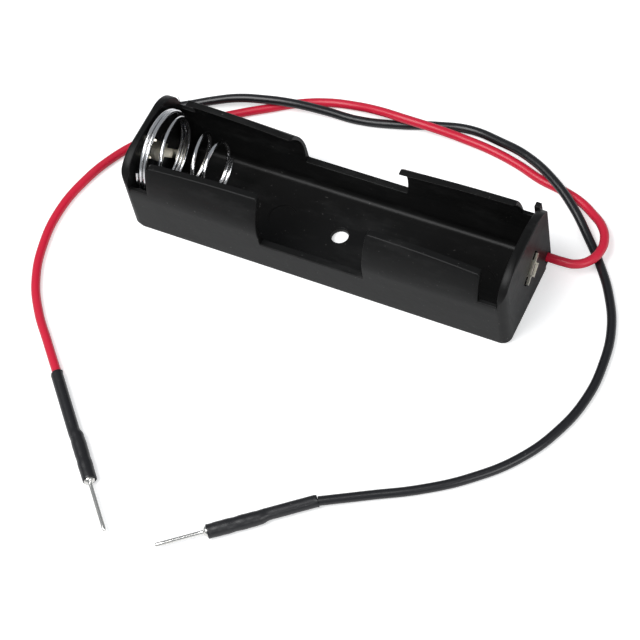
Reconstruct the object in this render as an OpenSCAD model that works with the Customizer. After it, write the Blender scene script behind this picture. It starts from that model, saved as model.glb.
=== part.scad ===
// Holder for one round cell, with a sprung negative end and two pinned leads.
// X runs along the cell with the positive end at +X, and Z is up.
// The origin is on the underside, at the middle of the housing.

/* [Cell bay] */
// Inside diameter of the trough that the cell lies in
bay_d = 14.6; // [14.2:0.1:15.2]
// Clear length between the two end walls
bay_l = 55.6; // [54:0.2:58]
// Rounding at the foot of the bay
foot_r = 0.9; // [0.5:0.1:1.5]

/* [Housing walls] */
// Side wall beside the middle of the cell
wall_t = 0.7; // [0.6:0.05:1.2]
// Side wall at its foot, where the bay is square
foot_t = 1.1; // [1:0.05:1.4]
// Floor under the cell
floor_t = 1; // [0.8:0.1:1.6]
// End walls
end_t = 1.2; // [1:0.1:1.8]
// Height of the end walls
end_h = 14; // [13.6:0.1:15]
// Height at which the end walls start to arch
shoulder_z = 8.5; // [7.5:0.1:9.5]
// Squareness of the arch, where 2 is an ellipse
arch_n = 2.5; // [2:0.1:3.2]
// Rounding of the upright corners
corner_r = 1.4; // [0.8:0.1:2]
// Rounding along the outer top edge of the end walls
brow_r = 0.8; // [0.4:0.1:0.9]
// Height of the plinth line around the foot
plinth_h = 0.7; // [0.4:0.1:1]
// Depth of the plinth line
plinth_in = 0.2; // [0.05:0.05:0.3]

/* [Snap lips] */
// Height of the lips that curl over the cell
lip_h = 13.3; // [12.6:0.1:13.5]
// Height at which the side walls start to curl
curl_z = 7.6; // [6.5:0.1:8.4]
// Outside radius of the curl
curl_r = 10.5; // [9.5:0.5:16]
// Rounding of the lips' corners
lip_r = 0.4; // [0.3:0.1:1.5]
// Gap between a lip and the end wall beside it
notch_l = 2.8; // [1.6:0.1:3.4]
// Height of the wall in that gap
notch_z = 9.1; // [8:0.1:10]

/* [Finger windows] */
// Height of the window sills
sill_z = 5.7; // [5:0.1:7]
// Length of a window at its sill
window_l = 15.7; // [12:0.1:20]
// Slope of the window ends, from upright
window_draft = 2.2; // [0:0.2:6]
// Rounding where a window end meets the sill
window_r = 0.2; // [0.1:0.1:1]

/* [Floor details] */
// Hole for the fixing screw
screw_d = 2.5; // [2.2:0.1:3.4]
// Round marks left by the ejector pins
ejector_d = 4; // [3:0.2:5]
// Depth of the ejector marks
ejector_z = 0.12; // [0.05:0.01:0.2]
// Distance of the inner marks from the middle
ejector_near = 9; // [7:0.5:11]
// Distance of the outer marks from the middle
ejector_far = 21.5; // [17:0.5:23]

/* [Terminal slots] */
// Length of the slot for a contact's tab
slot_l = 4.9; // [4.7:0.1:5.4]
// Width of that slot
slot_w = 1.1; // [0.8:0.1:1.4]
// Tilt of the slot
slot_tilt = 30; // [20:1:45]
// Place of the slot's centre across the end wall
slot_y = 0.5; // [-0.5:0.1:0.8]
// Height of the slot's centre
slot_z = 7.3; // [6.8:0.1:8.2]

/* [Contacts] */
// Thickness of the contact sheet
sheet_t = 0.3; // [0.2:0.05:0.4]
// Width of the positive plate
plate_w = 9.6; // [9:0.2:11.4]
// Height of the positive plate's top edge
plate_top_z = 11.6; // [11.3:0.1:13]
// Height of the positive plate's lower edge
plate_low_z = 1.5; // [1.3:0.1:2.2]
// Rounding of the plate's corners
plate_r = 1.4; // [0.6:0.1:2]
// Diameter of the pressed button
button_d = 6; // [5:0.1:7]
// Height of the pressed button
button_h = 0.8; // [0.5:0.05:1]
// Width of a tab's neck in the slot
neck_w = 2.4; // [1.8:0.1:2.8]
// Length of the tab's wings along the slot, outside the end wall
wings_l = 4.5; // [3.8:0.1:4.7]
// Width of the wings across
wings_t = 0.35; // [0.25:0.05:0.5]
// Space between the end wall and the wings
wings_gap = 0.05; // [0.02:0.01:0.2]
// Length of the tab's nose along the slot
nose_l = 2; // [1.6:0.1:2.4]
// How far the nose stands out of the end wall
nose_out = 0.8; // [0.6:0.05:1.2]
// Slit in the nose, along the slot
slit_l = 1.5; // [0.8:0.1:1.6]
// Width of that slit
slit_w = 0.16; // [0.1:0.02:0.3]
// Width of the negative terminal's pad
pad_w = 2.8; // [2.4:0.1:3.4]
// Reach of the pad above the slot
pad_up = 4.4; // [3.5:0.1:4.8]
// Reach of the pad below the slot
pad_down = 1.6; // [1:0.1:2.5]
// Height of the pad's two folded ears
ear_h = 0.8; // [0.4:0.1:1.2]
// Length of the ears along the pad
ear_l = 1.6; // [1:0.1:1.8]
// Width of the arm from the pad to its solder joint
arm_w = 1.3; // [1:0.1:1.4]

/* [Contact spring] */
// Thickness of the spring wire
wire_d = 0.55; // [0.45:0.05:0.8]
// Free length of the spring
spring_l = 10.1; // [8:0.1:11]
// Radius of the wide end, to the middle of the wire
base_r = 6.2; // [5.8:0.05:6.5]
// Radius of the narrow end, to the middle of the wire
tip_r = 4.1; // [3:0.1:4.5]
// Closed turns at the wide end
base_turns = 2.25; // [1:0.05:2.5]
// Open turns
open_turns = 2.35; // [2:0.05:3.5]
// Closed turns at the narrow end
tip_turns = 0.9; // [0.8:0.05:1.5]
// Height of the spring's axis
spring_z = 8.4; // [7.8:0.05:8.8]
// Place of the spring's axis across the bay
spring_y = -0.3; // [-0.5:0.05:0.5]

/* [Leads] */
// Diameter of the insulation
lead_d = 1.3; // [1.1:0.05:1.5]
// Diameter of the bare strands
strand_d = 0.7; // [0.5:0.05:0.8]
// Gap around the lead where it passes through an end wall
lead_gap = 0.2; // [0.1:0.05:0.25]
// Distance of the leads' middle from the housing's side
lead_side = 2.1; // [2:0.05:2.3]
// Height of the leads where they leave the housing
lead_z = 2.4; // [2.2:0.05:2.6]
// Width of the channel's mouth under each lead
mouth_w = 1.5; // [1:0.1:1.7]
// Depth of that mouth
mouth_t = 0.9; // [0.5:0.1:1.1]
// Height of that mouth
mouth_h = 1.2; // [0.8:0.1:1.3]

/* [Pins and sleeves] */
// Thickness of a pin
pin_d = 0.6; // [0.5:0.02:0.8]
// Length of the red lead's pin outside its sleeve
red_pin_l = 8; // [6:0.5:10]
// Length of the black lead's pin outside its sleeve
black_pin_l = 7; // [6:0.5:10]
// Diameter of the pin's barrel
barrel_d = 1.6; // [1.4:0.05:1.7]
// Length of the pin's barrel
barrel_l = 7.5; // [6:0.5:9]
// Barrel that shows at the mouth of the sleeve
barrel_out = 0.4; // [0:0.1:0.8]
// Length of the red lead's sleeve
red_sleeve_l = 18; // [15:0.5:20]
// Length of the black lead's sleeve
black_sleeve_l = 15; // [13:0.5:20]
// Thickness of the sleeve, once it is shrunk
sleeve_t = 0.2; // [0.15:0.05:0.3]
// Length of the step between the sleeve's two thicknesses
sleeve_step = 1.2; // [0.8:0.1:2]

/* [Hidden] */

$fn = 64;
eps = 0.02;
body_w = bay_d + 2 * wall_t;
body_l = bay_l + 2 * end_t;
half_bay = bay_l / 2;
cell_z = floor_t + bay_d / 2;
foot_w = body_w - 2 * foot_t;
lead_y = body_w / 2 - lead_side;

// Small moulded post at the back of the positive end wall
nib_t = 0.7;
nib_w = 0.9;
nib_top_z = 12.3;

// Solder joints: beside the button on the plate, and outside the spring's wide end
positive_joint = [lead_y - 1.5, lead_z + 1.2];
negative_joint = [lead_y - 1.6, lead_z - 0.7];
solder_d = 1.2;
solder_h = 0.7;

// Space between the spring's wide end and the terminal under it, and between closed turns
spring_seat = 0.05;
turn_gap = 0.07;

// How fast the open turns get smaller, and where the wire ends in degrees from +Y
cone_power = 1.8;
tip_angle = -24;

// How far inside an end wall a lead's insulation stops, and how far its strands go on
lead_in = 0.2;
strand_in = 0.5;
lead_x = half_bay + lead_in;

// How far the positive tab reaches into the back of the button
tab_root = 0.35;

// Height of the sleeves' axes
sleeve_z = 1;

// Where each sleeve starts, and its direction in degrees from +X
red_sleeve_at = [-27.1, -34.2, sleeve_z];
red_sleeve_dir = -47;
black_sleeve_at = [15.1, -38.9, sleeve_z];
black_sleeve_dir = -141.5;

// Route of the red lead, from the housing to its sleeve
red_route = [
    [lead_x, lead_y, lead_z], [lead_x + 1.5, lead_y, lead_z], [lead_x + 3.1, lead_y, lead_z],
    [32.9, 6.2, 2.3], [34.5, 7.5, 2.2],
    [35.2, 9.5, 2.1], [34.9, 11.7, 1.8], [33.6, 13.9, 1.3], [31.6, 15.6, 0.8], [29.2, 17, 0.7],
    [26.2, 17.9, 0.7], [22.6, 18.6, 0.7], [18.6, 19.9, 0.7], [14.4, 20.8, 0.8],
    [9.8, 21.1, 1.2], [5.4, 21, 1.8], [0.8, 20.9, 2.1], [-3.6, 21.2, 1.7], [-7.6, 21.3, 1],
    [-11.6, 20.7, 0.7], [-15.4, 19.2, 0.7], [-19.3, 16.9, 0.7], [-23, 14.6, 0.7],
    [-27, 11.8, 0.7], [-31, 8.6, 0.7], [-34.2, 5.3, 0.7], [-37.1, 1, 0.7], [-39.2, -4.4, 0.7],
    [-40.1, -10, 0.7], [-39.5, -16, 0.7], [-37.5, -21.8, 0.7], [-34.6, -26.2, 0.7],
    [-31, -30.1, 0.8], red_sleeve_at
];

// Route of the black lead, from the housing to its sleeve
black_route = [
    [-lead_x, lead_y, lead_z], [-lead_x - 1.5, lead_y, lead_z], [-lead_x - 3.1, lead_y, lead_z],
    [-33, 6.6, 2.2],
    [-34.3, 8.2, 1.8], [-34.3, 10.2, 1.2], [-32.8, 12.1, 0.8], [-30.4, 13.6, 0.8],
    [-27.4, 15, 1.3], [-24, 16.2, 1.9], [-20.4, 17.1, 2.1], [-16, 18, 2], [-11.2, 18.8, 1.3],
    [-6, 19.3, 0.7], [0, 20.6, 0.7], [5, 22.2, 0.7], [9.8, 23.2, 0.7], [14.8, 22.4, 1.2],
    [19.8, 20.8, 2], [24.8, 18.2, 2.1], [29, 15.1, 1.6], [32.4, 11.8, 0.9], [35.6, 8.2, 0.7],
    [38.5, 4.1, 0.7], [40.8, -0.8, 0.7], [41.8, -6.2, 0.7], [41.7, -12, 0.7], [40.1, -17.8, 0.7],
    [37, -23.4, 0.7], [32.2, -28.4, 0.7], [26.8, -32.3, 0.7], [20.9, -35.6, 0.8],
    black_sleeve_at
];

// ---- general shapes ----

// Stands a flat outline, drawn in Y and Z, along +X from x0 to x1
module along_x(x0, x1) {
    translate([x0, 0, 0]) rotate([90, 0, 90]) linear_extrude(height = x1 - x0) children();
}

// Stands a flat outline, drawn in X and Z, through the whole width
module through_y(width) {
    translate([0, width / 2, 0]) rotate([90, 0, 0]) linear_extrude(height = width) children();
}

// Rectangle with its centre at the origin and round corners
module round_box(size_x, size_y, r) {
    square([size_x - 2 * r, size_y], center = true);
    square([size_x, size_y - 2 * r], center = true);
    for (sx = [-1, 1], sy = [-1, 1])
        translate([sx * (size_x / 2 - r), sy * (size_y / 2 - r)]) circle(r = r);
}

function unit(v) = v / norm(v);

// Direction of a path at point i
function path_dir(p, i) = unit(p[min(i + 1, len(p) - 1)] - p[max(i - 1, 0)]);

// Tube of radius r along the points of a path, with flat ends
module path_tube(path, r, sides) {
    ring_count = len(path);
    rings = [
        for (i = [0 : ring_count - 1])
            let (d = path_dir(path, i), side = unit(cross([0, 0, 1], d)), up = cross(d, side))
            for (k = [0 : sides - 1])
                path[i] + r * (cos(360 * k / sides) * side + sin(360 * k / sides) * up)
    ];
    skin = [
        for (i = [0 : ring_count - 2], k = [0 : sides - 1])
            [i * sides + k, i * sides + (k + 1) % sides,
             (i + 1) * sides + (k + 1) % sides, (i + 1) * sides + k]
    ];
    near = [for (k = [sides - 1 : -1 : 0]) k];
    far = [for (k = [0 : sides - 1]) (ring_count - 1) * sides + k];
    polyhedron(points = rings, faces = concat(skin, [near], [far]), convexity = 10);
}

// ---- housing ----

// Outside of the trough: straight sides that curl inward from curl_z
module trough_outside() {
    curl_y = body_w / 2 - curl_r;
    translate([-body_w / 2, 0]) square([body_w, curl_z]);
    intersection() {
        translate([curl_y, curl_z]) circle(r = curl_r, $fn = 128);
        translate([-curl_y, curl_z]) circle(r = curl_r, $fn = 128);
        translate([-body_w / 2, curl_z - eps]) square([body_w, lip_h - curl_z + eps]);
    }
}

// Inside of the trough: round for the cell, square at the foot
module trough_inside() {
    translate([0, cell_z]) circle(d = bay_d, $fn = 128);
    translate([0, (floor_t + cell_z) / 2]) round_box(foot_w, cell_z - floor_t, foot_r);
    translate([-mouth_half(), cell_z]) square([2 * mouth_half(), lip_h]);
}

// Half the gap between the lips' tips
function mouth_half() = sqrt(pow(bay_d / 2, 2) - pow(lip_h - cell_z, 2));

// One lip or the low wall, as the side view shows it: upright sides, round top corners
module side_block(x0, x1, top, r) {
    translate([x0, 0]) square([x1 - x0, top - r]);
    translate([x0 + r, 0]) square([x1 - x0 - 2 * r, top]);
    translate([x0 + r, top - r]) circle(r = r);
    translate([x1 - r, top - r]) circle(r = r);
}

// Side view of the walls: a sill right through, a lip at each end and a notch beyond it
module wall_side_view() {
    lip_end = half_bay - notch_l;
    lip_start = window_l / 2;
    translate([-half_bay, 0]) square([bay_l, sill_z]);
    for (s = [-1, 1]) {
        low = min(s * lip_end, s * half_bay);
        translate([low - eps, 0]) square([notch_l + 2 * eps, notch_z]);
        side_block(min(s * lip_start, s * lip_end), max(s * lip_start, s * lip_end), lip_h, lip_r);
    }
}

// Slope of the window ends, with a small round at the sill
module window_slope() {
    rise = lip_h - sill_z;
    spread = rise * tan(window_draft);
    translate([0, sill_z])
        polygon([[-window_l / 2, window_r], [-window_l / 2 + window_r, 0],
                 [window_l / 2 - window_r, 0], [window_l / 2, window_r],
                 [window_l / 2 + spread, rise + eps], [-window_l / 2 - spread, rise + eps]]);
}

// Outline of an end wall: upright sides under a flattened arch
module end_outline() {
    steps = 40;
    polygon(concat(
        [[-body_w / 2, 0], [body_w / 2, 0]],
        [for (i = [0 : steps])
            let (a = 180 * i / steps, c = cos(a), s = sin(a))
            [sign(c) * body_w / 2 * pow(abs(c), 2 / arch_n),
             shoulder_z + (end_h - shoulder_z) * pow(s, 2 / arch_n)]]));
}

// Tilted outline of a contact slot, on either end wall
module slot_outline() {
    translate([slot_y, slot_z]) rotate(slot_tilt) square([slot_l, slot_w], center = true);
}

// Everything that is cut from one end wall, drawn for the positive end
module end_wall_cuts() {
    along_x(half_bay - eps, half_bay + end_t + eps) slot_outline();
    translate([half_bay - eps, lead_y, lead_z]) rotate([0, 90, 0])
        cylinder(d = lead_d + 2 * lead_gap, h = end_t + 2 * eps);
    translate([body_l / 2 - mouth_t, lead_y - mouth_w / 2, -eps])
        cube([mouth_t + eps, mouth_w, mouth_h + eps]);
}

module housing() {
    color([0.09, 0.09, 0.1])
    difference() {
        intersection() {
            union() {
                intersection() {
                    along_x(-body_l / 2 + eps, body_l / 2 - eps)
                        difference() {
                            trough_outside();
                            trough_inside();
                        }
                    through_y(body_w + 2) wall_side_view();
                }
                for (s = [-1, 1])
                    along_x(s > 0 ? half_bay : -body_l / 2, s > 0 ? body_l / 2 : -half_bay)
                        end_outline();
            }
            // rounds the upright corners
            linear_extrude(height = end_h) round_box(body_l, body_w, corner_r);
            // rounds the top edge of the end walls
            through_y(body_w + 2)
                translate([0, (end_h - brow_r) / 2])
                    round_box(body_l, end_h + brow_r, brow_r);
        }
        through_y(body_w + 2) window_slope();
        plinth_line();
        for (s = [0, 1]) mirror([s, 0, 0]) end_wall_cuts();
        translate([0, 0, -eps]) cylinder(d = screw_d, h = floor_t + 2 * eps);
        for (x = [-ejector_far, -ejector_near, ejector_near, ejector_far])
            translate([x, 0, floor_t - ejector_z]) cylinder(d = ejector_d, h = ejector_z + eps);
    }
    color([0.09, 0.09, 0.1])
    translate([half_bay - nib_t, body_w / 2 - wall_t - nib_w / 2, notch_z - wall_t])
        cube([nib_t + eps, nib_w, nib_top_z - notch_z + wall_t]);
}

// Shallow rebate around the foot, cut from the outside only
module plinth_line() {
    translate([0, 0, -eps])
        linear_extrude(height = plinth_h + eps)
            difference() {
                square([body_l + 2, body_w + 2], center = true);
                round_box(body_l - 2 * plinth_in, body_w - 2 * plinth_in, corner_r);
            }
}

// ---- contacts ----

// Tab of a contact: a neck through the slot, two wings at the wall and a slit nose
module contact_tab(inner_x) {
    wings_x = body_l / 2 + wings_gap;
    nose_x = body_l / 2 + nose_out;
    translate([0, slot_y, slot_z]) rotate([slot_tilt, 0, 0])
        translate([0, 0, -sheet_t / 2])
            linear_extrude(height = sheet_t)
                difference() {
                    union() {
                        translate([inner_x, -neck_w / 2]) square([wings_x + wings_t - inner_x, neck_w]);
                        translate([wings_x, -wings_l / 2]) square([wings_t, wings_l]);
                        translate([wings_x, -nose_l / 2]) square([nose_x - wings_x, nose_l]);
                    }
                    translate([wings_x + wings_t - slit_w / 2, -slit_l / 2]) square([slit_w, slit_l]);
                }
}

// Pressed button: a shell dome that stands toward the cell
module button_dome(r_base, h, z0) {
    ball_r = (r_base * r_base + h * h) / (2 * h);
    translate([half_bay - sheet_t, 0, z0]) rotate([0, -90, 0])
        rotate_extrude()
            intersection() {
                translate([0, h - ball_r]) circle(r = ball_r, $fn = 96);
                square([r_base, h]);
            }
}

module positive_contact() {
    color([0.8, 0.78, 0.72])
    difference() {
        union() {
            along_x(half_bay - sheet_t, half_bay)
                difference() {
                    translate([0, (plate_top_z + plate_low_z) / 2])
                        round_box(plate_w, plate_top_z - plate_low_z, plate_r);
                    translate([lead_y, lead_z]) circle(d = lead_d + 2 * lead_gap);
                }
            button_dome(button_d / 2, button_h, cell_z);
        }
        // the hollow behind the button, a sheet's thickness under it
        translate([sheet_t + eps, 0, 0])
            button_dome(button_d / 2 - sheet_t, button_h, cell_z);
    }
    color([0.8, 0.78, 0.72]) contact_tab(half_bay - sheet_t - tab_root);
}

// Pad that lies across the slot inside the spring, two ears, and the arm to the solder joint
module negative_terminal() {
    color([0.8, 0.78, 0.72])
    mirror([1, 0, 0]) {
        contact_tab(half_bay - sheet_t);
        along_x(half_bay - sheet_t, half_bay) {
            translate([slot_y, slot_z]) rotate(slot_tilt)
                translate([-pad_w / 2, -pad_down]) square([pad_w, pad_up + pad_down]);
            arm_outline([slot_y, slot_z], negative_joint, arm_w);
        }
        translate([half_bay - sheet_t - ear_h, slot_y, slot_z]) rotate([slot_tilt, 0, 0])
            for (s = [-1, 1])
                translate([0, s * (pad_w - sheet_t) / 2 - sheet_t / 2, pad_up - ear_l])
                    cube([ear_h + eps, sheet_t, ear_l]);
    }
}

// Straight strip with round ends between two points
module arm_outline(a, b, w) {
    run = norm(b - a);
    lean = atan2(b[1] - a[1], b[0] - a[0]);
    translate(a) rotate(lean) {
        translate([0, -w / 2]) square([run, w]);
        circle(d = w);
        translate([run, 0]) circle(d = w);
    }
}

// ---- spring ----

// Eases from 0 to 1 along the open turns
function ease(u) = u * u * (3 - 2 * u);

// Share of the open turns that is behind turn t
function opened(t) = min(1, max(0, (t - base_turns) / open_turns));

// Turns that lie closed on their neighbours, up to turn t
function closed(t) = min(t, base_turns) + max(0, t - base_turns - open_turns);

module contact_spring() {
    all_turns = base_turns + open_turns + tip_turns;
    closed_pitch = wire_d + turn_gap;
    rise = spring_l - wire_d - closed(all_turns) * closed_pitch;
    steps = 118;
    start_x = -half_bay + sheet_t + spring_seat + wire_d / 2;
    path = [
        for (i = [0 : steps])
            let (t = all_turns * i / steps,
                 a = tip_angle - 360 * (all_turns - t),
                 r = tip_r + (base_r - tip_r) * pow(1 - opened(t), cone_power))
            [start_x + closed(t) * closed_pitch + rise * ease(opened(t)),
             spring_y + r * cos(a), spring_z + r * sin(a)]
    ];
    color([0.85, 0.85, 0.86]) spring_tube(path, wire_d / 2, 8);
}

// Tube around a coil whose axis is X
module spring_tube(path, r, sides) {
    ring_count = len(path);
    rings = [
        for (i = [0 : ring_count - 1])
            let (d = path_dir(path, i), side = unit(cross([1, 0, 0], d)), up = cross(d, side))
            for (k = [0 : sides - 1])
                path[i] + r * (cos(360 * k / sides) * side + sin(360 * k / sides) * up)
    ];
    skin = [
        for (i = [0 : ring_count - 2], k = [0 : sides - 1])
            [i * sides + k, i * sides + (k + 1) % sides,
             (i + 1) * sides + (k + 1) % sides, (i + 1) * sides + k]
    ];
    near = [for (k = [sides - 1 : -1 : 0]) k];
    far = [for (k = [0 : sides - 1]) (ring_count - 1) * sides + k];
    polyhedron(points = rings, faces = concat(skin, [near], [far]), convexity = 10);
}

// ---- solder joints and bare strands ----

// Domed solder joint on the sheet, drawn for the positive end
module solder_joint(joint) {
    ball_r = (pow(solder_d / 2, 2) + solder_h * solder_h) / (2 * solder_h);
    translate([half_bay - sheet_t, joint[0], joint[1]]) rotate([0, -90, 0])
        rotate_extrude()
            intersection() {
                translate([0, solder_h - ball_r]) circle(r = ball_r);
                square([solder_d / 2, solder_h]);
            }
}

module positive_solder() {
    color([0.78, 0.79, 0.8]) solder_joint(positive_joint);
}

module negative_solder() {
    color([0.78, 0.79, 0.8]) mirror([1, 0, 0]) solder_joint(negative_joint);
}

// Bare strands from the end of the insulation, round a bend and into a solder joint
module bare_strands(joint) {
    bend_x = half_bay - sheet_t - strand_in;
    run = [joint[0] - lead_y, joint[1] - lead_z];
    translate([bend_x, lead_y, lead_z]) {
        rotate([0, 90, 0]) cylinder(d = strand_d, h = lead_x - bend_x);
        sphere(d = strand_d);
        rotate([atan2(run[1], run[0]) - 90, 0, 0]) cylinder(d = strand_d, h = norm(run));
    }
}

module red_conductor() {
    color([0.8, 0.78, 0.74]) bare_strands(positive_joint);
}

module black_conductor() {
    color([0.8, 0.78, 0.74]) mirror([1, 0, 0]) bare_strands(negative_joint);
}

// ---- leads, sleeves and pins ----

module red_lead() {
    color([0.85, 0.15, 0.28]) path_tube(red_route, lead_d / 2, 8);
}

module black_lead() {
    color([0.07, 0.07, 0.08]) path_tube(black_route, lead_d / 2, 8);
}

// Puts a piece drawn along +X at a sleeve's start
module at_sleeve(at, angle) {
    translate(at) rotate([0, 0, angle]) children();
}

// Shrunk sleeve along +X: thin over the lead, thicker over the pin's barrel
module sleeve(sleeve_l) {
    thin_r = lead_d / 2 + sleeve_t;
    thick_r = barrel_d / 2 + sleeve_t;
    barrel_x = sleeve_l + barrel_out - barrel_l;
    rotate([0, 90, 0]) rotate([0, 0, 90])
        rotate_extrude()
            polygon([[0, 0], [thin_r, 0], [thin_r, barrel_x - sleeve_step], [thick_r, barrel_x],
                     [thick_r, sleeve_l], [barrel_d / 2, sleeve_l], [barrel_d / 2, barrel_x],
                     [0, barrel_x]]);
}

// Pin along +X: a barrel inside the sleeve and a thin pin with a blunt nose
module pin(sleeve_l, pin_l) {
    start_x = sleeve_l + barrel_out - barrel_l;
    end_x = sleeve_l + pin_l;
    nose = pin_d / 2;
    rotate([0, 90, 0]) rotate([0, 0, 90])
        rotate_extrude()
            polygon([[0, start_x], [barrel_d / 2, start_x], [barrel_d / 2, sleeve_l + barrel_out],
                     [pin_d / 2, sleeve_l + barrel_out], [pin_d / 2, end_x - nose],
                     [pin_d / 4, end_x], [0, end_x]]);
}

module red_sleeve() {
    color([0.06, 0.06, 0.07]) at_sleeve(red_sleeve_at, red_sleeve_dir) sleeve(red_sleeve_l);
}

module black_sleeve() {
    color([0.06, 0.06, 0.07]) at_sleeve(black_sleeve_at, black_sleeve_dir) sleeve(black_sleeve_l);
}

module red_pin() {
    color([0.82, 0.81, 0.78])
    at_sleeve(red_sleeve_at, red_sleeve_dir) pin(red_sleeve_l, red_pin_l);
}

module black_pin() {
    color([0.82, 0.81, 0.78])
    at_sleeve(black_sleeve_at, black_sleeve_dir) pin(black_sleeve_l, black_pin_l);
}

housing();
positive_contact();
negative_terminal();
contact_spring();
positive_solder();
negative_solder();
red_conductor();
black_conductor();
red_lead();
black_lead();
red_sleeve();
black_sleeve();
red_pin();
black_pin();
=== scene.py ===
# %% [markdown]
# # A holder for one round cell
#
# This scene dresses a small black holder: a moulded trough with four curled snap lips, a conical
# spring at one end, a sheet contact at the other, and two thin leads that end in sleeved pins.
# Its sizes are those of the solids. Lengths are written in millimetres, as a part drawing would
# have them, and MM turns them into metres.

# %%
import math

import bmesh
import bpy
from mathutils import Matrix, Vector


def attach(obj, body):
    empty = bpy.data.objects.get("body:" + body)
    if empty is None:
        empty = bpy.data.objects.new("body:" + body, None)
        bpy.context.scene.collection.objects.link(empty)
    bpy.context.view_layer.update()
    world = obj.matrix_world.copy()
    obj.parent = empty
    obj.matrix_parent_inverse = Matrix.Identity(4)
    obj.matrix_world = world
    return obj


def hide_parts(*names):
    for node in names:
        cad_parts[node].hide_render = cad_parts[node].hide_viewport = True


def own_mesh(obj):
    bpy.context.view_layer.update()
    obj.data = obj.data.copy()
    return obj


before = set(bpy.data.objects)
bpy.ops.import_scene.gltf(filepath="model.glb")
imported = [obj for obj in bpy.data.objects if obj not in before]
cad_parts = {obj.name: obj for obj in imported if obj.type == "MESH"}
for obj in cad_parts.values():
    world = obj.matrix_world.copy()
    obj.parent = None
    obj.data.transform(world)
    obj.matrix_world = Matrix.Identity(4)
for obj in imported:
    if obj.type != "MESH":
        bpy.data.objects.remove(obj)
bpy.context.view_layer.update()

MM = 0.001


# %% [markdown]
# ## The camera
#
# The camera looks down from above and from the right, with a long lens held at a slant. A camera
# basis is easiest to build from its own back vector: azimuth and elevation give the back vector,
# and the roll turns right and up around it.

# %%
AZIMUTH, ELEVATION, ROLL = 37, 57, -13.8
DISTANCE, FOCAL = 0.318, 130.4
TARGET = Vector((0.0030, -0.0131, 0))


def aim_camera():
    a, e, r = (math.radians(x) for x in (AZIMUTH, ELEVATION, ROLL))
    back = Vector((math.sin(a) * math.cos(e), -math.cos(a) * math.cos(e), math.sin(e)))
    level = Vector((math.cos(a), math.sin(a), 0))
    up = back.cross(level)
    right = math.cos(r) * level + math.sin(r) * up
    top = math.cos(r) * up - math.sin(r) * level
    data = bpy.data.cameras.new("camera")
    data.lens, data.sensor_width = FOCAL, 36
    camera = bpy.data.objects.new("camera", data)
    place = Matrix.Translation(TARGET + DISTANCE * back)
    camera.matrix_world = place @ Matrix((right, top, back)).transposed().to_4x4()
    bpy.context.scene.collection.objects.link(camera)
    bpy.context.scene.camera = camera
    return camera


camera = aim_camera()
print("camera at", tuple(round(x, 4) for x in camera.location))


# %% [markdown]
# ## Small helpers
#
# Every piece is made from lists of points in millimetres. The same few steps come back all the
# time: make a mesh, shade it smoothly up to a certain angle, hang it on its body and hide the
# plain solid that it stands for.

# %%
def new_object(name, points, faces, scale=MM):
    mesh = bpy.data.meshes.new(name)
    mesh.from_pydata([Vector(p) * scale for p in points], [], faces)
    mesh.update()
    obj = bpy.data.objects.new(name, mesh)
    bpy.context.scene.collection.objects.link(obj)
    return obj


def smooth(obj, degrees=35):
    obj.data.shade_smooth()
    obj.data.set_sharp_from_angle(angle=math.radians(degrees))
    return obj


def dress(obj, node, body, *materials):
    for material in materials:
        obj.data.materials.append(material)
    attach(obj, body)
    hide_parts(node)
    return obj


# %% [markdown]
# ## Finishes
#
# Three effects are shared by several materials, so each is a node group that puts out masks,
# values and normals, and leaves the shader to the material:
#
# * moulded skin: the fine orange peel of a tool surface, and slow flow marks under it;
# * handling: faint scuffs and dust, which show on black long before they show on anything else;
# * drawn metal: the little changes of gloss along plated wire and sheet.

# %%
def new_group(name, inputs, outputs):
    group = bpy.data.node_groups.new(name, "ShaderNodeTree")
    for label, kind, value in inputs:
        socket = group.interface.new_socket(label, in_out="INPUT", socket_type=kind)
        socket.default_value = value
    for label, kind in outputs:
        group.interface.new_socket(label, in_out="OUTPUT", socket_type=kind)
    return group, group.nodes.new("NodeGroupInput"), group.nodes.new("NodeGroupOutput")


def add_node(tree, kind, links=(), **values):
    node = tree.nodes.new(kind)
    for key, value in values.items():
        if hasattr(node, key):
            setattr(node, key, value)
        else:
            node.inputs[key.replace("_", " ")].default_value = value
    for socket, source in links:
        tree.links.new(source, node.inputs[socket])
    return node


def noise(tree, coords, scale, detail=4, rough=0.55):
    node = add_node(tree, "ShaderNodeTexNoise", [("Vector", coords)], Detail=detail, Roughness=rough)
    if hasattr(scale, "links"):
        tree.links.new(scale, node.inputs["Scale"])
    else:
        node.inputs["Scale"].default_value = scale
    return node.outputs["Fac"]


def spread(tree, value, low, high, to_low=0, to_high=1):
    node = add_node(tree, "ShaderNodeMapRange", [("Value", value)],
                    From_Min=low, From_Max=high, To_Min=to_low, To_Max=to_high)
    return node.outputs["Result"]


def moulded_skin():
    group, given, out = new_group(
        "moulded skin",
        [("Peel Scale", "NodeSocketFloat", 1500), ("Peel Depth", "NodeSocketFloat", 0.2),
         ("Flow Scale", "NodeSocketFloat", 160), ("Flow Depth", "NodeSocketFloat", 0.3)],
        [("Normal", "NodeSocketVector"), ("Flow", "NodeSocketFloat")])
    coords = add_node(group, "ShaderNodeTexCoord").outputs["Object"]
    peel = noise(group, coords, given.outputs["Peel Scale"], 3)
    flow = noise(group, coords, given.outputs["Flow Scale"], 3, 0.5)
    low = add_node(group, "ShaderNodeBump",
                   [("Height", flow), ("Strength", given.outputs["Flow Depth"])], Distance=0.0002)
    high = add_node(group, "ShaderNodeBump",
                    [("Height", peel), ("Strength", given.outputs["Peel Depth"]),
                     ("Normal", low.outputs["Normal"])], Distance=0.00004)
    group.links.new(high.outputs["Normal"], out.inputs["Normal"])
    group.links.new(flow, out.inputs["Flow"])
    return group


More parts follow.
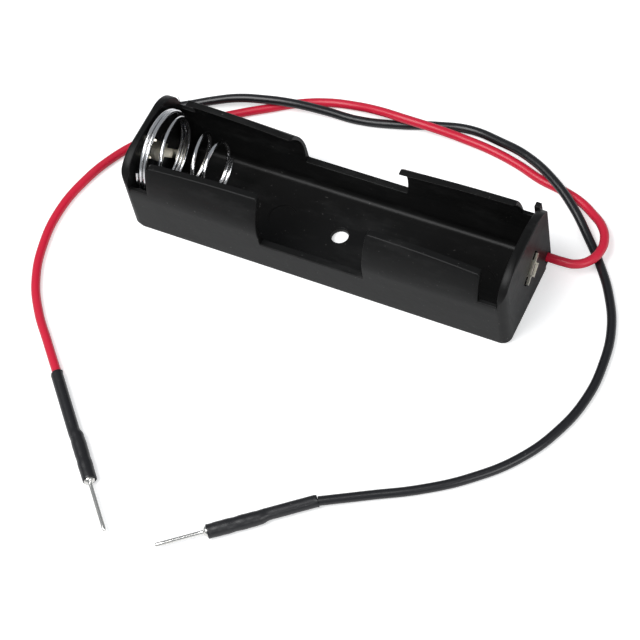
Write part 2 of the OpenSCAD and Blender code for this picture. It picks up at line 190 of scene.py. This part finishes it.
def handling():
    group, given, out = new_group(
        "handling",
        [("Scuff Amount", "NodeSocketFloat", 0.4), ("Dust Amount", "NodeSocketFloat", 0.3)],
        [("Scuff", "NodeSocketFloat"), ("Dust", "NodeSocketFloat")])
    coords = add_node(group, "ShaderNodeTexCoord").outputs["Object"]
    long_way = add_node(group, "ShaderNodeMapping", [("Vector", coords)]).outputs["Vector"]
    long_way.node.inputs["Scale"].default_value = (0.35, 1, 1)
    patches = spread(group, noise(group, long_way, 320, 6, 0.65), 0.52, 0.72)
    specks = spread(group, noise(group, coords, 2600, 2, 0.5), 0.70, 0.78)
    scuff = add_node(group, "ShaderNodeMath", [(0, patches), (1, given.outputs["Scuff Amount"])],
                     operation="MULTIPLY")
    dust = add_node(group, "ShaderNodeMath", [(0, specks), (1, given.outputs["Dust Amount"])],
                    operation="MULTIPLY")
    group.links.new(scuff.outputs["Value"], out.inputs["Scuff"])
    group.links.new(dust.outputs["Value"], out.inputs["Dust"])
    return group


def drawn_metal():
    group, given, out = new_group(
        "drawn metal",
        [("Mark Scale", "NodeSocketFloat", 900), ("Mark Depth", "NodeSocketFloat", 0.2)],
        [("Normal", "NodeSocketVector"), ("Tarnish", "NodeSocketFloat")])
    coords = add_node(group, "ShaderNodeTexCoord").outputs["Object"]
    marks = noise(group, coords, given.outputs["Mark Scale"], 5, 0.6)
    bump = add_node(group, "ShaderNodeBump",
                    [("Height", marks), ("Strength", given.outputs["Mark Depth"])], Distance=0.00003)
    tarnish = spread(group, noise(group, coords, 500, 4), 0.45, 0.7)
    group.links.new(bump.outputs["Normal"], out.inputs["Normal"])
    group.links.new(tarnish, out.inputs["Tarnish"])
    return group


SKIN, HANDLING, METAL = moulded_skin(), handling(), drawn_metal()
print("shared effects:", ", ".join(g.name for g in (SKIN, HANDLING, METAL)))


# %% [markdown]
# ### Plastics
#
# Black plastic has almost no colour of its own. What is seen of it is the room in its surface, so
# roughness and the skin's normal do the work, and the base colour stays close to black. Scuffs
# are rougher and a touch lighter.

# %%
DUST_COLOUR = (0.35, 0.34, 0.33)
WORN_BLACK = (0.03, 0.03, 0.03)
SCUFF_ROUGHENS = 0.25


def use_group(tree, group, **values):
    node = tree.nodes.new("ShaderNodeGroup")
    node.node_tree = group
    for key, value in values.items():
        node.inputs[key.replace("_", " ")].default_value = value
    return node


def mix_colour(tree, mask, first, second):
    node = add_node(tree, "ShaderNodeMix", data_type="RGBA")
    tree.links.new(mask, node.inputs["Factor"])
    for socket, value in ((node.inputs[6], first), (node.inputs[7], second)):
        if hasattr(value, "links"):
            tree.links.new(value, socket)
        else:
            socket.default_value = (*value, 1)
    return node.outputs[2]


def plastic(name, colour, worn, rough, peel, flow, scuff, dust, ior=1.5):
    material = bpy.data.materials.new(name)
    material.use_nodes = True
    tree = material.node_tree
    shader = tree.nodes["Principled BSDF"]
    shader.inputs["IOR"].default_value = ior
    skin = use_group(tree, SKIN, Peel_Depth=peel, Flow_Depth=flow)
    wear = use_group(tree, HANDLING, Scuff_Amount=scuff, Dust_Amount=dust)
    tinted = mix_colour(tree, wear.outputs["Scuff"], colour, worn)
    dusted = mix_colour(tree, wear.outputs["Dust"], tinted, DUST_COLOUR)
    tree.links.new(dusted, shader.inputs["Base Color"])
    gloss = spread(tree, wear.outputs["Scuff"], 0, 1, rough, rough + SCUFF_ROUGHENS)
    tree.links.new(gloss, shader.inputs["Roughness"])
    tree.links.new(skin.outputs["Normal"], shader.inputs["Normal"])
    return material


HOUSING_PLASTIC = plastic("housing plastic", (0.006, 0.006, 0.006), WORN_BLACK, rough=0.38,
                          peel=0.25, flow=0.35, scuff=0.35, dust=0.15, ior=1.25)
RED_INSULATION = plastic("red insulation", (0.62, 0.010, 0.040), (0.50, 0.03, 0.06), rough=0.36,
                         peel=0.1, flow=0.1, scuff=0.2, dust=0.05)
BLACK_INSULATION = plastic("black insulation", (0.008, 0.008, 0.010), WORN_BLACK, rough=0.30,
                           peel=0.1, flow=0.1, scuff=0.3, dust=0.15)
SLEEVE_FILM = plastic("sleeve film", (0.009, 0.009, 0.011), WORN_BLACK, rough=0.38,
                      peel=0.4, flow=0.5, scuff=0.3, dust=0.2)
print("plastics:", HOUSING_PLASTIC.name, RED_INSULATION.name, BLACK_INSULATION.name, SLEEVE_FILM.name)


# %% [markdown]
# ### Metals
#
# The spring and the pins are plated wire: bright, with a little variation. The sheet contacts are
# warmer and duller. Solder is smoother than the strands that it holds.

# %%
TARNISH_ROUGHENS = 0.12


def metal(name, colour, tarnished, rough, marks):
    material = bpy.data.materials.new(name)
    material.use_nodes = True
    tree = material.node_tree
    shader = tree.nodes["Principled BSDF"]
    shader.inputs["Metallic"].default_value = 1
    finish = use_group(tree, METAL, Mark_Depth=marks)
    tarnish = finish.outputs["Tarnish"]
    tree.links.new(mix_colour(tree, tarnish, colour, tarnished), shader.inputs["Base Color"])
    gloss = spread(tree, tarnish, 0, 1, rough, rough + TARNISH_ROUGHENS)
    tree.links.new(gloss, shader.inputs["Roughness"])
    tree.links.new(finish.outputs["Normal"], shader.inputs["Normal"])
    return material


SPRING_WIRE = metal("spring wire", (0.86, 0.86, 0.88), (0.70, 0.69, 0.68), rough=0.14, marks=0.25)
CONTACT_SHEET = metal("contact sheet", (0.86, 0.82, 0.70), (0.74, 0.69, 0.56), rough=0.30, marks=0.3)
PIN_METAL = metal("pin metal", (0.84, 0.83, 0.80), (0.68, 0.66, 0.62), rough=0.20, marks=0.3)
SOLDER = metal("solder", (0.84, 0.85, 0.86), (0.66, 0.67, 0.68), rough=0.24, marks=0.35)
STRANDS = metal("tinned strands", (0.82, 0.80, 0.76), (0.62, 0.60, 0.56), rough=0.34, marks=0.8)
print("metals:", SPRING_WIRE.name, CONTACT_SHEET.name, PIN_METAL.name, SOLDER.name, STRANDS.name)


# %% [markdown]
# ## The leads
#
# A limp lead of this kind has a bend radius of a few diameters, so it never shows a corner. The
# route is a handful of points that a hand could have chosen, and automatic Bezier handles give
# it the even curve of real stranded wire. Where one lead crosses the other it rides over it in a
# low hump.

# %%
LEAD_D = 1.3
LEAD_Y, LEAD_Z = 5.9, 2.4

RED_ROUTE = [
    (28, 5.9, 2.4), (29.5, 5.9, 2.4), (31.1, 5.9, 2.4), (32.9, 6.2, 2.3), (34.5, 7.5, 2.2),
    (35.2, 9.5, 2.1), (34.9, 11.7, 1.8), (33.6, 13.9, 1.3), (31.6, 15.6, 0.8), (29.2, 17, 0.7),
    (26.2, 17.9, 0.7), (22.6, 18.6, 0.7), (18.6, 19.9, 0.7), (14.4, 20.8, 0.8), (9.8, 21.1, 1.2),
    (5.4, 21, 1.8), (0.8, 20.9, 2.1), (-3.6, 21.2, 1.7), (-7.6, 21.3, 1), (-11.6, 20.7, 0.7),
    (-15.4, 19.2, 0.7), (-19.3, 16.9, 0.7), (-23, 14.6, 0.7), (-27, 11.8, 0.7), (-31, 8.6, 0.7),
    (-34.2, 5.3, 0.7), (-37.1, 1, 0.7), (-39.2, -4.4, 0.7), (-40.1, -10, 0.7), (-39.5, -16, 0.7),
    (-37.5, -21.8, 0.7), (-34.6, -26.2, 0.7), (-31, -30.1, 0.8), (-27.1, -34.2, 1),
]
BLACK_ROUTE = [
    (-28, 5.9, 2.4), (-29.5, 5.9, 2.4), (-31.1, 5.9, 2.4), (-33, 6.6, 2.2), (-34.3, 8.2, 1.8),
    (-34.3, 10.2, 1.2), (-32.8, 12.1, 0.8), (-30.4, 13.6, 0.8), (-27.4, 15, 1.3), (-24, 16.2, 1.9),
    (-20.4, 17.1, 2.1), (-16, 18, 2), (-11.2, 18.8, 1.3), (-6, 19.3, 0.7), (0, 20.6, 0.7),
    (5, 22.2, 0.7), (9.8, 23.2, 0.7), (14.8, 22.4, 1.2), (19.8, 20.8, 2), (24.8, 18.2, 2.1),
    (29, 15.1, 1.6), (32.4, 11.8, 0.9), (35.6, 8.2, 0.7), (38.5, 4.1, 0.7), (40.8, -0.8, 0.7),
    (41.8, -6.2, 0.7), (41.7, -12, 0.7), (40.1, -17.8, 0.7), (37, -23.4, 0.7), (32.2, -28.4, 0.7),
    (26.8, -32.3, 0.7), (20.9, -35.6, 0.8), (15.1, -38.9, 1),
]


def lead(name, route):
    data = bpy.data.curves.new(name, "CURVE")
    data.dimensions = "3D"
    spline = data.splines.new("BEZIER")
    spline.bezier_points.add(len(route) - 1)
    for point, place in zip(spline.bezier_points, route):
        point.co = Vector(place) * MM
        point.handle_left_type = point.handle_right_type = "AUTO"
    spline.resolution_u = 10
    data.bevel_depth, data.bevel_resolution = LEAD_D / 2 * MM, 6
    data.use_fill_caps = True
    obj = bpy.data.objects.new(name, data)
    bpy.context.scene.collection.objects.link(obj)
    return obj


def route_length(route):
    return sum((Vector(b) - Vector(a)).length for a, b in zip(route, route[1:]))


red_lead = dress(lead("red_lead_insulation", RED_ROUTE), "red_lead", "holder", RED_INSULATION)
black_lead = dress(lead("black_lead_insulation", BLACK_ROUTE), "black_lead", "holder", BLACK_INSULATION)
print("leads run", round(route_length(RED_ROUTE)), "and", round(route_length(BLACK_ROUTE)), "mm")


# %% [markdown]
# ## Sleeves and pins
#
# Each lead ends in a turned pin with a barrel. A sleeve is shrunk over the joint, so it is thin on
# the lead and thicker on the barrel. The two halves seldom line up: the barrel sits a little to
# one side, and the film shows it.
#
# Both pieces are lathed: rings of points around a straight axis, with the radius and a small
# sideways offset given for each ring.

# %%
SLEEVE_T, SLEEVE_STEP, SLEEVE_LEAN, MOUTH_R = 0.2, 1.2, 0.18, 0.06
BARREL_D, BARREL_L, BARREL_OUT = 1.6, 7.5, 0.4
PIN_D, FIT = 0.6, 0.02
RED_END = dict(at=(-27.1, -34.2, 1), turn=-47, sleeve_l=18, pin_l=8)
BLACK_END = dict(at=(15.1, -38.9, 1), turn=-141.5, sleeve_l=15, pin_l=7)


def lathe(name, rings, at, turn, sides=32, close_ends=True):
    """rings are (along, radius, sideways), from one end of the piece to the other."""
    points, faces = [], []
    for along, radius, sideways in rings:
        for k in range(sides):
            a = 2 * math.pi * k / sides
            points.append((along, sideways + radius * math.cos(a), radius * math.sin(a)))
    for i in range(len(rings) - 1):
        for k in range(sides):
            n = (k + 1) % sides
            faces.append((i * sides + k, i * sides + n, (i + 1) * sides + n, (i + 1) * sides + k))
    if close_ends:
        faces.append(tuple(reversed(range(sides))))
        faces.append(tuple((len(rings) - 1) * sides + k for k in range(sides)))
    c, s = math.cos(math.radians(turn)), math.sin(math.radians(turn))
    placed = [(at[0] + c * x - s * y, at[1] + s * x + c * y, at[2] + z) for x, y, z in points]
    return new_object(name, placed, faces)


def ease(u):
    u = min(1, max(0, u))
    return u * u * (3 - 2 * u)


def sleeve(name, end, steps=60):
    length = end["sleeve_l"]
    barrel_x = length + BARREL_OUT - BARREL_L
    thin, thick = LEAD_D / 2 + SLEEVE_T, BARREL_D / 2 + SLEEVE_T
    rings = [(0, LEAD_D / 2 - 0.05, 0), (0, thin - MOUTH_R, 0), (MOUTH_R, thin, 0)]
    for i in range(1, steps + 1):
        along = MOUTH_R + (length - 2 * MOUTH_R) * i / steps
        grown = ease((along - barrel_x + SLEEVE_STEP) / SLEEVE_STEP)
        wave = 0.02 * math.sin(along * 2.1) + 0.015 * math.sin(along * 3.7 + 1)
        rings.append((along, thin + (thick - thin) * grown + wave * grown, SLEEVE_LEAN * (grown - 0.5)))
    side = rings[-1][2]
    rings += [(length, thick - MOUTH_R, side), (length, BARREL_D / 2, side),
              (length - 0.5, BARREL_D / 2 - FIT, side)]
    return smooth(lathe(name, rings, end["at"], end["turn"], close_ends=False), 50)


def pin(name, end, steps=8):
    start = end["sleeve_l"] + BARREL_OUT - BARREL_L
    mouth, tip = end["sleeve_l"] + BARREL_OUT, end["sleeve_l"] + end["pin_l"]
    r, barrel = PIN_D / 2, BARREL_D / 2
    shank, shank_l = mouth + 0.2, tip - 0.5 - mouth
    rings = [(start, barrel - FIT, 0), (mouth - 0.35, barrel - FIT, 0), (mouth - 0.15, barrel - 0.12, 0),
             (mouth, barrel - 0.35, 0), (mouth + 0.1, r + 0.02, 0), (shank, r, 0)]
    rings += [(shank + shank_l * i / steps, r, 0) for i in range(1, steps + 1)]
    rings += [(tip - 0.1, r * 0.85, 0), (tip, r * 0.5, 0)]
    return smooth(lathe(name, rings, end["at"], end["turn"]), 50)


red_sleeve = dress(sleeve("red_lead_sleeve", RED_END), "red_sleeve", "holder", SLEEVE_FILM)
black_sleeve = dress(sleeve("black_lead_sleeve", BLACK_END), "black_sleeve", "holder", SLEEVE_FILM)
red_pin = dress(pin("red_lead_pin", RED_END), "red_pin", "holder", PIN_METAL)
black_pin = dress(pin("black_lead_pin", BLACK_END), "black_pin", "holder", PIN_METAL)

print("sleeves", RED_END["sleeve_l"], "and", BLACK_END["sleeve_l"], "mm; pins", PIN_D, "mm thick")


# %% [markdown]
# ## The housing
#
# The housing is one moulding, and it is modelled the way its tool is cut. A trough section is
# drawn once and pulled along the cell. The side view then says how high the wall stands at each
# place: lip, window, lip, notch. The end walls close it, and slots and holes are cut last.
#
# It is built at one unit to the millimetre and scaled down at the end, which keeps the booleans
# away from rounding trouble.

# %%
BAY_D, BAY_L = 14.6, 55.6
WALL_T, FLOOR_T, FOOT_T, FOOT_R, END_T = 0.7, 1.0, 1.1, 0.9, 1.2
BODY_W, BODY_L = BAY_D + 2 * WALL_T, BAY_L + 2 * END_T
HALF_BAY, CELL_Z = BAY_L / 2, FLOOR_T + BAY_D / 2
SIDE_END, PAST = HALF_BAY + 0.6, 0.5
LIP_H, CURL_Z, CURL_R, LIP_R = 13.3, 7.6, 10.5, 0.4
NOTCH_L, NOTCH_Z = 2.8, 9.1
SILL_Z, WINDOW_L, WINDOW_DRAFT, WINDOW_R = 5.7, 15.7, 2.2, 0.2
END_H, SHOULDER_Z, ARCH_N = 14.0, 8.5, 2.5
CORNER_R, BROW_R = 1.4, 0.8
NIB_T, NIB_W, NIB_TOP_Z = 0.7, 0.9, 12.3


def arc(cx, cy, r, start, stop, steps):
    return [(cx + r * math.cos(math.radians(start + (stop - start) * i / steps)),
             cy + r * math.sin(math.radians(start + (stop - start) * i / steps))) for i in range(steps + 1)]


def mirrored(points):
    return [(-x, y) for x, y in reversed(points)]


def trough_section():
    """The closed section in Y and Z: up the outside, over the lip and down the bore."""
    curl_y = BODY_W / 2 - CURL_R
    top = math.degrees(math.asin((LIP_H - CURL_Z) / CURL_R))
    outside = [(BODY_W / 2, 0)] + arc(curl_y, CURL_Z, CURL_R, 0, top, 16)
    bore_r, foot_y = BAY_D / 2, BODY_W / 2 - FOOT_T
    mouth = math.degrees(math.asin((LIP_H - CELL_Z) / bore_r))
    meet = -math.degrees(math.acos(foot_y / bore_r))
    inside = arc(0, CELL_Z, bore_r, mouth, meet, 20)
    inside += arc(foot_y - FOOT_R, FLOOR_T + FOOT_R, FOOT_R, 0, -90, 8)
    right = outside + inside
    return right + mirrored(right)


def side_view():
    """What is left of the walls, in X and Z: a lip, the window and the other lip."""
    lip_end = HALF_BAY - NOTCH_L
    draft = math.tan(math.radians(WINDOW_DRAFT))
    top_x = WINDOW_L / 2 + (LIP_H - LIP_R - SILL_Z) * draft
    right = [(0, SILL_Z), (WINDOW_L / 2 - WINDOW_R, SILL_Z)]
    right += arc(WINDOW_L / 2 - WINDOW_R, SILL_Z + WINDOW_R, WINDOW_R, -90, -WINDOW_DRAFT, 6)[1:]
    right += arc(top_x + LIP_R, LIP_H - LIP_R, LIP_R, 180 - WINDOW_DRAFT, 90, 8)
    right += arc(lip_end - LIP_R, LIP_H - LIP_R, LIP_R, 90, 0, 8)
    right += [(lip_end, NOTCH_Z), (SIDE_END, NOTCH_Z), (SIDE_END, -1)]
    return mirrored(right)[:-1] + right


def end_outline():
    steps = 48
    arch = []
    for i in range(steps + 1):
        c, s = math.cos(math.pi * i / steps), math.sin(math.pi * i / steps)
        y = math.copysign(BODY_W / 2 * abs(c) ** (2 / ARCH_N), c)
        arch.append((y, SHOULDER_Z + (END_H - SHOULDER_Z) * max(s, 0) ** (2 / ARCH_N)))
    return [(-BODY_W / 2, 0), (BODY_W / 2, 0)] + arch


def round_box(w, h, r, steps=10):
    corners = ((w / 2 - r, h / 2 - r, 0), (-w / 2 + r, h / 2 - r, 90),
               (-w / 2 + r, -h / 2 + r, 180), (w / 2 - r, -h / 2 + r, 270))
    return [p for cx, cy, a in corners for p in arc(cx, cy, r, a, a + 90, steps)]


def prism(name, outline, axis, low, high):
    """Pulls a flat outline along X, Y or Z, at one unit to the millimetre."""
    place = {"x": lambda p, t: (t, p[0], p[1]),
             "y": lambda p, t: (p[0], t, p[1]),
             "z": lambda p, t: (p[0], p[1], t)}[axis]
    n = len(outline)
    points = [place(p, low) for p in outline] + [place(p, high) for p in outline]
    faces = [tuple(range(n)), tuple(range(2 * n - 1, n - 1, -1))]
    faces += [(i, i + n, (i + 1) % n + n, (i + 1) % n) for i in range(n)]
    obj = new_object(name, points, faces, 1)
    shape = bmesh.new()
    shape.from_mesh(obj.data)
    bmesh.ops.remove_doubles(shape, verts=shape.verts, dist=1e-4)
    bmesh.ops.recalc_face_normals(shape, faces=shape.faces)
    shape.to_mesh(obj.data)
    shape.free()
    return obj


def bake(obj):
    mesh = bpy.data.meshes.new_from_object(obj.evaluated_get(bpy.context.evaluated_depsgraph_get()))
    obj.modifiers.clear()
    obj.data = mesh


def combine(obj, operation, *tools):
    for tool in tools:
        modifier = obj.modifiers.new(tool.name, "BOOLEAN")
        modifier.operation, modifier.solver, modifier.object = operation, "EXACT", tool
        bake(obj)
        bpy.data.objects.remove(tool)


def shell():
    body = prism("housing shell", trough_section(), "x", -HALF_BAY - PAST, HALF_BAY + PAST)
    combine(body, "INTERSECT", prism("side view", side_view(), "y", -BODY_W, BODY_W))
    ends = [prism("end wall", end_outline(), "x", *span)
            for span in ((HALF_BAY, BODY_L / 2), (-BODY_L / 2, -HALF_BAY))]
    nib_y = BODY_W / 2 - WALL_T
    nib = [(nib_y - NIB_W / 2, NOTCH_Z - WALL_T), (nib_y + NIB_W / 2, NOTCH_Z - WALL_T),
           (nib_y + NIB_W / 2, NIB_TOP_Z), (nib_y - NIB_W / 2, NIB_TOP_Z)]
    combine(body, "UNION", *ends, prism("nib", nib, "x", HALF_BAY - NIB_T, HALF_BAY + 0.1))
    brow = [(-BODY_L / 2, -1), (BODY_L / 2, -1)]
    brow += arc(BODY_L / 2 - BROW_R, END_H - BROW_R, BROW_R, 0, 90, 8)
    brow += arc(-BODY_L / 2 + BROW_R, END_H - BROW_R, BROW_R, 90, 180, 8)
    upright = prism("upright corners", round_box(BODY_L, BODY_W, CORNER_R), "z", -1, END_H + 1)
    combine(body, "INTERSECT", upright, prism("brow", brow, "y", -BODY_W, BODY_W))
    return body


housing = shell()
print("shell of", len(housing.data.polygons), "faces")


# %% [markdown]
# ### Cuts in the shell
#
# The contact slot lies at the same slant in both end walls, and each contact's tab passes through
# one of them. The lead leaves through a round hole low in the corner, with a small mouth under it.

# %%
LEAD_GAP = 0.2
SLOT_L, SLOT_W, SLOT_TILT, SLOT_Y, SLOT_Z = 4.9, 1.1, 30, 0.5, 7.3
MOUTH_W, MOUTH_T, MOUTH_H = 1.5, 0.9, 1.2
PLINTH_H, PLINTH_IN = 0.7, 0.2
SCREW_D = 2.5
EJECTOR_D, EJECTOR_Z, EJECTOR_X = 4.0, 0.12, (9, 21.5)


def tilted(outline, angle, y, z):
    c, s = math.cos(math.radians(angle)), math.sin(math.radians(angle))
    return [(y + c * a - s * b, z + s * a + c * b) for a, b in outline]


def rectangle(w, h):
    return [(-w / 2, -h / 2), (w / 2, -h / 2), (w / 2, h / 2), (-w / 2, h / 2)]


def disc(x, y, d, steps=48):
    return arc(x, y, d / 2, 0, 360, steps)[:-1]


def cut_shell(body):
    inside, outside = HALF_BAY - PAST, BODY_L / 2 + PAST
    slot = tilted(rectangle(SLOT_L, SLOT_W), SLOT_TILT, SLOT_Y, SLOT_Z)
    hole = disc(LEAD_Y, LEAD_Z, LEAD_D + 2 * LEAD_GAP, 24)
    left, right = LEAD_Y - MOUTH_W / 2, LEAD_Y + MOUTH_W / 2
    mouth = [(left, -PAST), (right, -PAST), (right, MOUTH_H), (left, MOUTH_H)]
    cuts = []
    for low, high in ((inside, outside), (-outside, -inside)):
        cuts += [prism("slot", slot, "x", low, high), prism("lead hole", hole, "x", low, high)]
    for low, high in ((BODY_L / 2 - MOUTH_T, outside), (-outside, -BODY_L / 2 + MOUTH_T)):
        cuts.append(prism("mouth", mouth, "x", low, high))
    cuts.append(prism("screw hole", disc(0, 0, SCREW_D), "z", -1, FLOOR_T + 1))
    combine(body, "DIFFERENCE", *cuts)
    foot = round_box(BODY_L - 2 * PLINTH_IN, BODY_W - 2 * PLINTH_IN, CORNER_R)
    rebate = prism("rebate", round_box(BODY_L + 4, BODY_W + 4, 1), "z", -1, PLINTH_H)
    combine(rebate, "DIFFERENCE", prism("foot", foot, "z", -2, 2))
    combine(body, "DIFFERENCE", rebate)


cut_shell(housing)
print("after the cuts:", len(housing.data.polygons), "faces")


# %% [markdown]
# ### Round edges, and lips that lean
#
# A moulding has no sharp edge: the tool's cutter leaves about a tenth of a millimetre. The round
# edges catch the light and draw the shape on black plastic, more than anything else here.
#
# The lips are thin and sprung, and they come out of the tool a little closed. They lean further
# in towards the finger windows than at the notches, so the mesh is sliced across every
# millimetre or so and then bent.

# %%
EDGE_R = 0.11
LEAN, BOW = 0.65, 0.25


def round_edges(body):
    bevel = body.modifiers.new("edges", "BEVEL")
    bevel.width, bevel.segments = EDGE_R, 2
    bevel.limit_method, bevel.angle_limit = "ANGLE", math.radians(38)
    bevel.use_clamp_overlap = False
    bevel.miter_outer = "MITER_ARC"
    bake(body)


def slice_across(body, spacing=1.25):
    shape = bmesh.new()
    shape.from_mesh(body.data)
    x = -HALF_BAY + NOTCH_L + spacing / 2
    while x < HALF_BAY - NOTCH_L:
        bmesh.ops.bisect_plane(shape, geom=shape.verts[:] + shape.edges[:] + shape.faces[:],
                               plane_co=(x, 0, 0), plane_no=(1, 0, 0))
        x += spacing
    shape.to_mesh(body.data)
    shape.free()


def lean_lips(body):
    lip_end, lip_start = HALF_BAY - NOTCH_L, WINDOW_L / 2
    for vertex in body.data.vertices:
        x, y, z = vertex.co
        if z <= CURL_Z or abs(x) > lip_end + 0.01:
            continue
        along = min(1, (lip_end - abs(x)) / (lip_end - lip_start))
        rise = ((z - CURL_Z) / (LIP_H - CURL_Z)) ** 2
        vertex.co.y -= math.copysign(LEAN * along * rise, y)
        vertex.co.z += BOW * math.sin(math.pi * along) * rise


def sink_marks(body):
    marks = [prism("ejector mark", disc(s * x, 0, EJECTOR_D, 40), "z", FLOOR_T - EJECTOR_Z, FLOOR_T + 1)
             for x in EJECTOR_X for s in (-1, 1)]
    combine(body, "DIFFERENCE", *marks)


def to_metres(body, degrees):
    body.data.transform(Matrix.Scale(MM, 4))
    smooth(body, degrees)
    weighted = body.modifiers.new("even shading", "WEIGHTED_NORMAL")
    weighted.keep_sharp = True
    bake(body)


round_edges(housing)
sink_marks(housing)
slice_across(housing)
lean_lips(housing)
to_metres(housing, 50)
housing.name = "moulded_housing"
dress(housing, "housing", "holder", HOUSING_PLASTIC)
print("housing:", len(housing.data.polygons), "faces")


# %% [markdown]
# ## The contact spring
#
# The spring is a cone: wide closed turns sit on the terminal, open turns climb towards the cell,
# and a small closed turn carries it. Because it is a cone, the turns nest when it is pressed
# down. The wire is a tube swept along that path.

# %%
WIRE_D, SPRING_L, BASE_R, TIP_R = 0.55, 10.1, 6.2, 4.1
BASE_TURNS, OPEN_TURNS, TIP_TURNS = 2.25, 2.35, 0.9
SPRING_Y, SPRING_Z, TIP_ANGLE, CONE_POWER = -0.3, 8.4, -24, 1.8
SHEET_T, SPRING_SEAT, TURN_GAP = 0.3, 0.05, 0.07


def closed_turns(t):
    """How many of the first t turns lie close against the next one."""
    return min(t, BASE_TURNS) + max(0, t - BASE_TURNS - OPEN_TURNS)


def spring_path(steps=420):
    total = BASE_TURNS + OPEN_TURNS + TIP_TURNS
    pitch = WIRE_D + TURN_GAP
    rise = SPRING_L - WIRE_D - closed_turns(total) * pitch
    start = -HALF_BAY + SHEET_T + SPRING_SEAT + WIRE_D / 2
    path = []
    for i in range(steps + 1):
        t = total * i / steps
        opened = min(1, max(0, (t - BASE_TURNS) / OPEN_TURNS))
        a = math.radians(TIP_ANGLE - 360 * (total - t))
        r = TIP_R + (BASE_R - TIP_R) * (1 - opened) ** CONE_POWER
        x = start + closed_turns(t) * pitch + rise * ease(opened)
        path.append(Vector((x, SPRING_Y + r * math.cos(a), SPRING_Z + r * math.sin(a))))
    return path


def wire(name, path, radius, sides=14):
    points, faces = [], []
    for i, p in enumerate(path):
        d = (path[min(i + 1, len(path) - 1)] - path[max(i - 1, 0)]).normalized()
        side = Vector((1, 0, 0)).cross(d).normalized()
        up = d.cross(side)
        for k in range(sides):
            a = 2 * math.pi * k / sides
            points.append(p + radius * (math.cos(a) * side + math.sin(a) * up))
    for i in range(len(path) - 1):
        for k in range(sides):
            n = (k + 1) % sides
            faces.append((i * sides + k, i * sides + n, (i + 1) * sides + n, (i + 1) * sides + k))
    faces.append(tuple(reversed(range(sides))))
    faces.append(tuple((len(path) - 1) * sides + k for k in range(sides)))
    return smooth(new_object(name, points, faces), 60)


coils = wire("conical_contact_spring", spring_path(), WIRE_D / 2)
spring = dress(coils, "contact_spring", "holder", SPRING_WIRE)
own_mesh(spring)
print("spring of", BASE_TURNS + OPEN_TURNS + TIP_TURNS, "turns,", len(spring.data.vertices), "points")


# %% [markdown]
# ## Contacts, solder and strands
#
# The sheet contacts are pressed parts. Their edges are sheared, so they get only a very small
# round. The solids already have the right shape, and a bevel and a finish are all they need.

# %%
SHEARED_EDGE = 0.05


def finish_solid(node, material, edge):
    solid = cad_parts[node]
    solid.data.materials.clear()
    solid.data.materials.append(material)
    if edge:
        bevel = solid.modifiers.new("edges", "BEVEL")
        bevel.width, bevel.segments = edge * MM, 2
        bevel.limit_method, bevel.angle_limit = "ANGLE", math.radians(40)


finish_solid("positive_contact", CONTACT_SHEET, SHEARED_EDGE)
finish_solid("negative_terminal", CONTACT_SHEET, SHEARED_EDGE)
finish_solid("positive_solder", SOLDER, 0)
finish_solid("negative_solder", SOLDER, 0)
finish_solid("red_conductor", STRANDS, 0)
finish_solid("black_conductor", STRANDS, 0)
print("contacts, solder and strands finished")


# %% [markdown]
# ## Light and floor
#
# The holder stands in plain product light: a big soft lamp from above and in front, a pale table,
# and white all round. The table is bright, so the upright walls mirror it and turn dark grey, while the
# curled lips mirror the room above it and stay black.

# %%
def world_light():
    world = bpy.data.worlds.new("studio")
    bpy.context.scene.world = world
    world.use_nodes = True
    tree = world.node_tree
    tree.nodes.clear()
    rays = add_node(tree, "ShaderNodeLightPath").outputs
    seen = add_node(tree, "ShaderNodeMath",
                    [(0, rays["Is Camera Ray"]), (1, rays["Is Transmission Ray"])], operation="MAXIMUM")
    soft = add_node(tree, "ShaderNodeBackground", Color=(0.9, 0.95, 1, 1), Strength=0.3)
    white = add_node(tree, "ShaderNodeBackground", Color=(1, 1, 1, 1), Strength=1)
    mix = add_node(tree, "ShaderNodeMixShader",
                   [(0, seen.outputs["Value"]), (1, soft.outputs["Background"]),
                    (2, white.outputs["Background"])])
    add_node(tree, "ShaderNodeOutputWorld", [("Surface", mix.outputs["Shader"])])


def softbox(name, place, target, size, power):
    data = bpy.data.lights.new(name, "AREA")
    data.shape, data.size, data.size_y, data.energy = "RECTANGLE", size[0], size[1], power
    lamp = bpy.data.objects.new(name, data)
    lamp.location = Vector(place)
    lamp.rotation_mode = "QUATERNION"
    lamp.rotation_quaternion = (Vector(target) - Vector(place)).to_track_quat("-Z", "Y")
    bpy.context.scene.collection.objects.link(lamp)
    return lamp


def floor():
    size = 2.0
    corners = [(-size, -size, 0), (size, -size, 0), (size, size, 0), (-size, size, 0)]
    plane = new_object("floor", corners, [(0, 1, 2, 3)], 1)
    material = bpy.data.materials.new("floor")
    material.use_nodes = True
    tree = material.node_tree
    shader = tree.nodes["Principled BSDF"]
    shader.inputs["Base Color"].default_value = (0.88, 0.88, 0.88, 1)
    shader.inputs["Roughness"].default_value = 0.8
    rays = add_node(tree, "ShaderNodeLightPath")
    lift = add_node(tree, "ShaderNodeMath", [(0, rays.outputs["Is Camera Ray"])], operation="MULTIPLY")
    lift.inputs[1].default_value = 0.45
    shader.inputs["Emission Color"].default_value = (1, 1, 1, 1)
    tree.links.new(lift.outputs["Value"], shader.inputs["Emission Strength"])
    plane.data.materials.append(material)


world_light()
lamps = [softbox("key", (-0.25, -0.30, 0.75), (0, 0, 0), (0.5, 0.5), 6.0),
         softbox("fill", (0.60, -0.35, 0.45), (0, 0, 0), (0.4, 0.4), 2.0)]
floor()
bpy.context.scene.view_settings.view_transform = "Standard"
print("lamps:", ", ".join(lamp.name for lamp in lamps))
